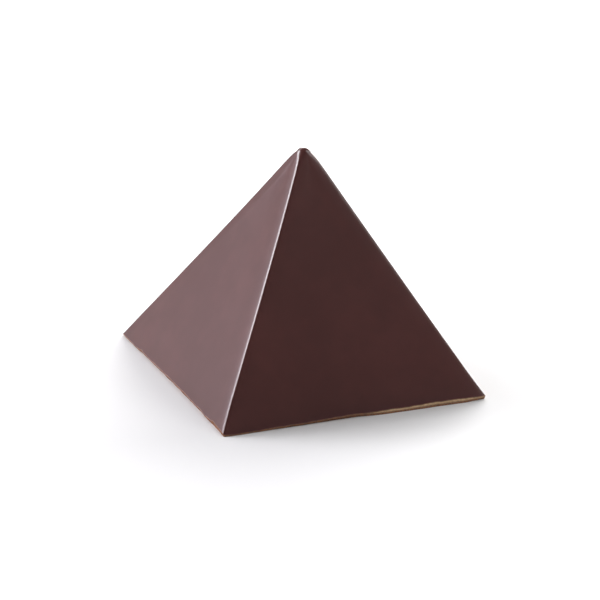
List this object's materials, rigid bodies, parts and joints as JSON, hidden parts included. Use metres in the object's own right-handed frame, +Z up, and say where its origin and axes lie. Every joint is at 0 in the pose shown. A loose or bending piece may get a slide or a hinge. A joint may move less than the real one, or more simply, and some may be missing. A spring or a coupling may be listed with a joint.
{
  "type": "chocolate pyramid",
  "caption": "Solid cast dark chocolate pyramid with a square base, crisp ridges, a small rounded tip, and a scraped lower edge to stand on.",
  "frame": {"origin": "middle of the square base, on the plane that the piece stands on", "axes": "+Z up through the tip; X and Y along the sides of the base, with the broad dark face of the picture towards -Y and the lighter face towards -X"},
  "size_m": [0.0594, 0.0601, 0.0489],
  "materials": {
    "dark_chocolate": "satin"
  },
  "bodies": {
    "root": {"chocolate_pyramid": "dark_chocolate"}
  },
  "joints": []
}
